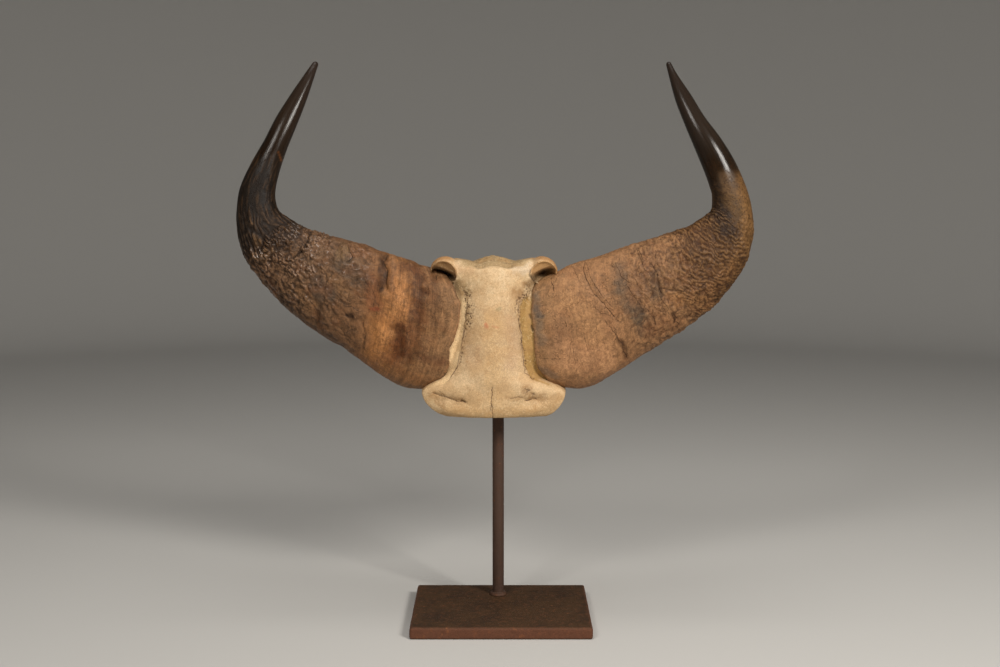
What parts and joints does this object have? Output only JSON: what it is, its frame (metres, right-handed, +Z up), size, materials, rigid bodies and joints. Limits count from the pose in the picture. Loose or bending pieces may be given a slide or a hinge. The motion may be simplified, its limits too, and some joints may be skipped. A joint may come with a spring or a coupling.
{
  "type": "buffalo skull plate on a stand",
  "caption": "Sawn buffalo skull plate with both horn sheaths sweeping out and up, held on a round steel rod over a flat steel base plate.",
  "frame": {"origin": "centre of the base plate's underside, where the stand rests", "axes": "+Z up along the rod, +X to the viewer's right across the horns, +Y towards the sawn back of the skull"},
  "size_m": [0.7094, 0.2068, 0.759],
  "materials": {
    "bone": "dry aged bone, cream and tan, pitted along the horn edges",
    "left_horn": "weathered brown horn, wrinkled before the bend, black and polished at the tip",
    "right_horn": "weathered tan horn with fine cracks and cross wrinkles, black and polished at the tip",
    "rod_steel": "brown rusted steel bar",
    "base_steel": "dark brown rusted steel plate, redder on its edges"
  },
  "bodies": {
    "root": {"skull_plate": "bone", "left_horn": "left_horn", "right_horn": "right_horn", "stand_rod": "rod_steel", "stand_base": "base_steel"}
  },
  "joints": []
}
